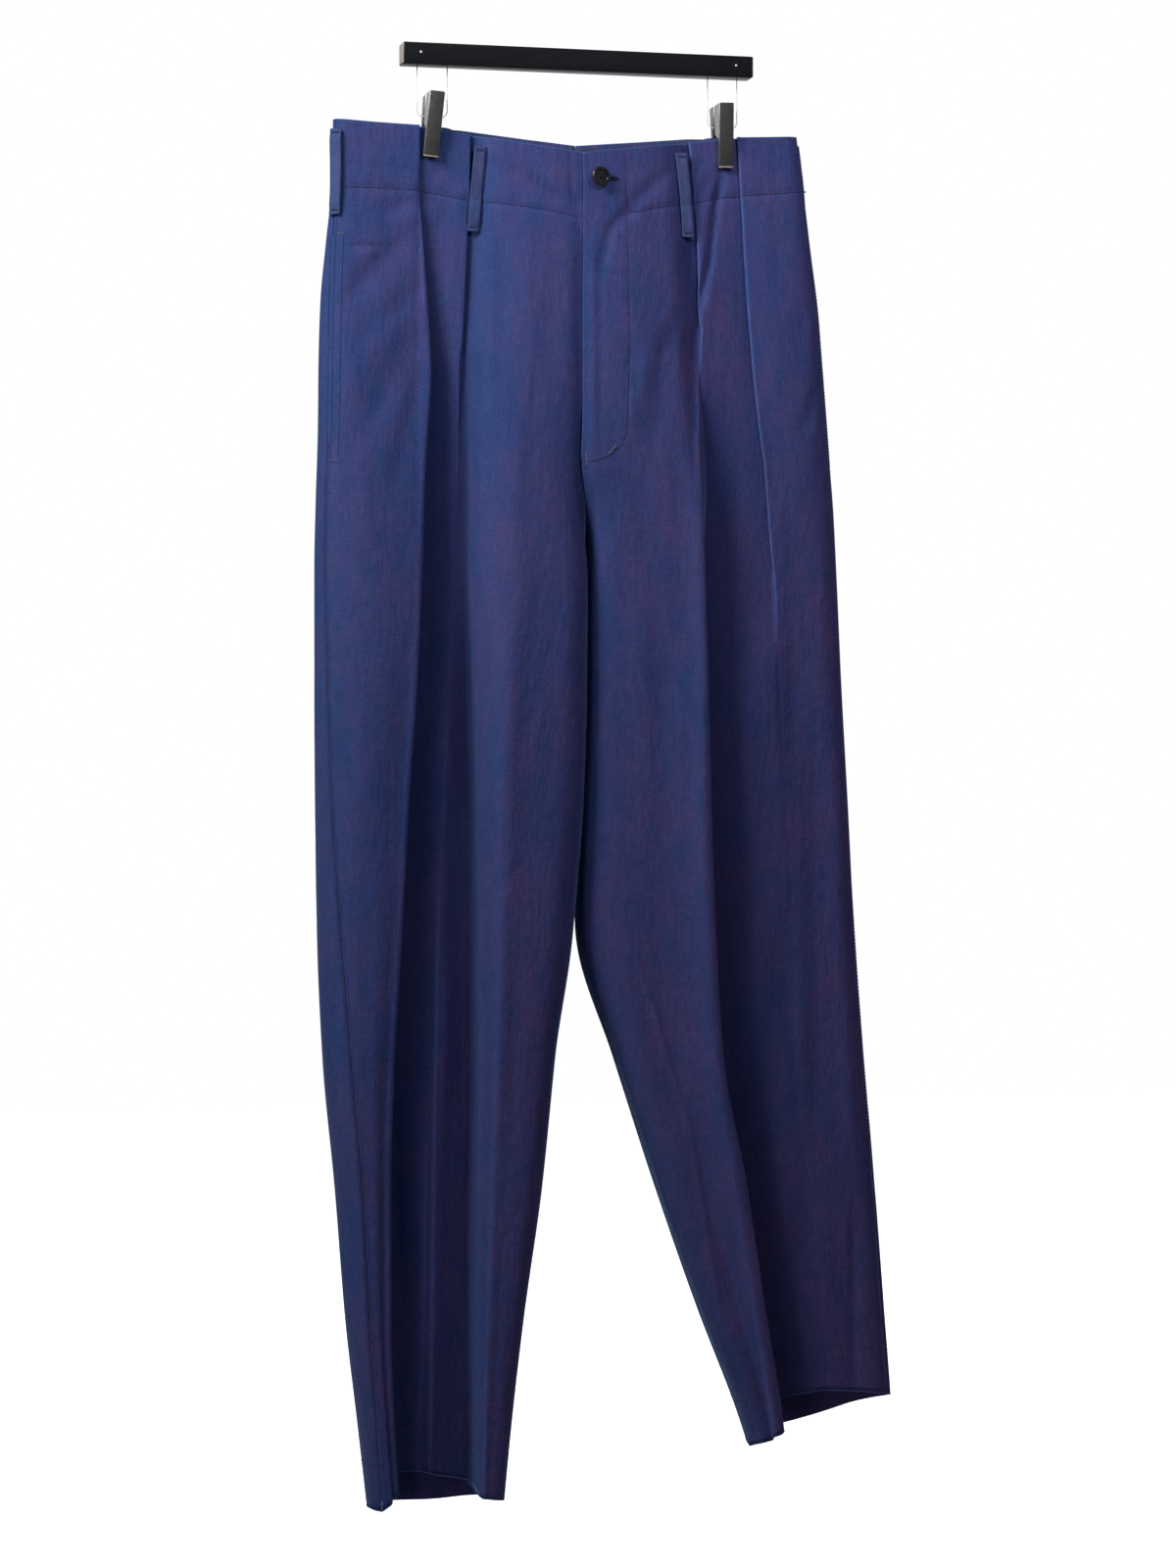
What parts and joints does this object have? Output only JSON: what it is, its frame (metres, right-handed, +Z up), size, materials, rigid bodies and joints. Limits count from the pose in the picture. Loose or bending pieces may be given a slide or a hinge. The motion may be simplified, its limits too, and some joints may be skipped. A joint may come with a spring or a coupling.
{
  "type": "pleated dress trousers on a clip hanger",
  "caption": "Pleated dress trousers of thin shot cotton with belt loops, fly and one waist button, hanging open-legged from a straight bar by clips at the waist.",
  "frame": {"origin": "middle of the hanger bar's top face, where it is held", "axes": "+X along the bar towards the wearer's left, -Y the garment's front, +Z up"},
  "size_m": [0.4594, 0.0738, 1.122],
  "materials": {
    "shot_cotton": "matt, blue shot with purple",
    "inner_cotton": "matt",
    "thread": "matt",
    "horn": "satin",
    "black_bar": "satin black",
    "clip_metal": "brushed"
  },
  "bodies": {
    "root": {"front_right": "shot_cotton", "front_left": "shot_cotton", "back_right": "shot_cotton", "back_left": "shot_cotton", "facing_front_right": "inner_cotton", "facing_front_left": "inner_cotton", "facing_back_right": "inner_cotton", "facing_back_left": "inner_cotton", "fly_facing": "inner_cotton", "fly_shield": "inner_cotton", "pocket_facing_right": "inner_cotton", "pocket_facing_left": "inner_cotton", "loop_front_right": "shot_cotton", "loop_front_left": "shot_cotton", "loop_side_right": "shot_cotton", "loop_side_left": "shot_cotton", "loop_back_right": "shot_cotton", "loop_back_middle": "shot_cotton", "loop_back_left": "shot_cotton", "button": "horn", "button_shank": "thread", "hanger_bar": "black_bar", "clip_right_front": "clip_metal", "clip_right_back": "clip_metal", "clip_left_front": "clip_metal", "clip_left_back": "clip_metal", "bail_right": "clip_metal", "bail_left": "clip_metal"}
  },
  "joints": []
}
